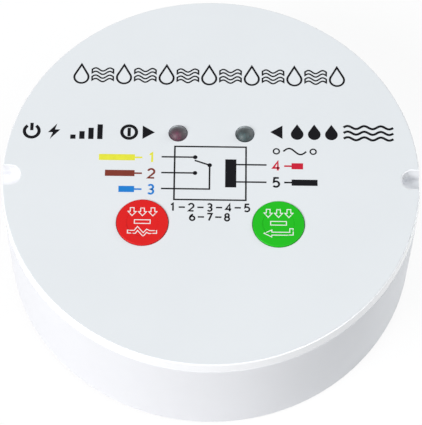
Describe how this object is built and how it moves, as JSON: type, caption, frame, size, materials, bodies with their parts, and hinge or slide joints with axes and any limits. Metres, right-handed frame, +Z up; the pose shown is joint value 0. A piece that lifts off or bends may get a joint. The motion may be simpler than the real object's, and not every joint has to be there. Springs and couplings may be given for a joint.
{
  "type": "water leak sensor",
  "caption": "Round free-standing water leak sensor with test and reset push buttons, indicator lamps, rim notches, sensing studs underneath and a lead outlet.",
  "frame": {"origin": "on the surface that the sensing studs stand on, below the centre of the object's box", "axes": "+Z up along the case's axis, +Y towards the top of the face graphics and the lead outlet in the back wall, +X to the reader's right"},
  "size_m": [0.1019, 0.102, 0.0357],
  "materials": {
    "shell_white": "moulded white, satin-gloss",
    "label_blue_grey": "printed polyester overlay, fine matt",
    "button_red": "moulded red, satin-gloss",
    "button_green": "moulded green, satin-gloss",
    "lens_red_tint": "tinted epoxy, clear",
    "lens_clear": "clear epoxy",
    "black_plastic": "moulded black",
    "ivory_plastic": "moulded ivory",
    "relay_shell": "moulded amber",
    "terminal_green": "moulded green",
    "capacitor_sleeve": "shrunk sleeve",
    "varistor_blue": "dipped epoxy",
    "resistor_tan": "lacquered",
    "board_green": "solder mask",
    "stainless": "turned stainless steel",
    "zinc_steel": "zinc plated",
    "brass": "machined",
    "copper": "enamelled or plated copper",
    "tinned": "tinned wire",
    "rubber_black": "moulded",
    "rubber_grey": "moulded"
  },
  "bodies": {
    "housing": {"base_housing": "shell_white", "bridge_rectifier": "black_plastic", "cable_grommet": "rubber_black", "capacitor_leads": "tinned", "chip_pins": "tinned", "circuit_board": "board_green", "cover_gasket": "rubber_grey", "cover_screws": "zinc_steel", "face_label": "label_blue_grey", "moisture_led_leads": "tinned", "moisture_led_lens": "lens_clear", "moisture_led_spacer": "black_plastic", "power_led_leads": "tinned", "power_led_lens": "lens_red_tint", "power_led_spacer": "black_plastic", "rectifier_pins": "tinned", "regulator_leads": "tinned", "relay_base": "black_plastic", "relay_bobbin": "ivory_plastic", "relay_case": "relay_shell", "relay_core": "zinc_steel", "relay_fixed_contacts": "copper", "relay_pins": "tinned", "relay_winding": "copper", "relay_yoke": "zinc_steel", "reset_switch_body": "black_plastic", "reset_switch_pins": "tinned", "reset_switch_plate": "zinc_steel", "resistor_leads": "tinned", "resistors": "resistor_tan", "sensing_studs": "stainless", "sensor_chip": "black_plastic", "smoothing_capacitor": "capacitor_sleeve", "stud_nuts": "brass", "stud_seals": "rubber_black", "stud_spacers": "brass", "terminal_block": "terminal_green", "terminal_clamps": "brass", "terminal_pins": "tinned", "terminal_screws": "zinc_steel", "test_switch_body": "black_plastic", "test_switch_pins": "tinned", "test_switch_plate": "zinc_steel", "top_cover": "shell_white", "varistor": "varistor_blue", "voltage_regulator": "black_plastic"},
    "test_button": {"test_button_cap": "button_red", "test_switch_plunger": "ivory_plastic"},
    "reset_button": {"reset_button_cap": "button_green", "reset_switch_plunger": "ivory_plastic"},
    "relay_armature": {"relay_armature": "zinc_steel", "relay_contact_blade": "copper"}
  },
  "joints": [
    {"name": "test_button_press", "type": "slide", "parent": "housing", "child": "test_button", "axis": [0, 0, -1], "range_m": [0, 0.0005], "stiffness_N_per_m": 2000, "springref_m": -0.0003},
    {"name": "reset_button_press", "type": "slide", "parent": "housing", "child": "reset_button", "axis": [0, 0, -1], "range_m": [0, 0.0005], "stiffness_N_per_m": 2000, "springref_m": -0.0003},
    {"name": "relay_armature_pull", "type": "hinge", "parent": "housing", "child": "relay_armature", "pos_m": [-0.0073, -0.027, 0.023], "axis": [0, 1, 0], "range_deg": [0, 4], "stiffness_Nm_per_rad": 0.02, "springref_deg": -2.86}
  ]
}
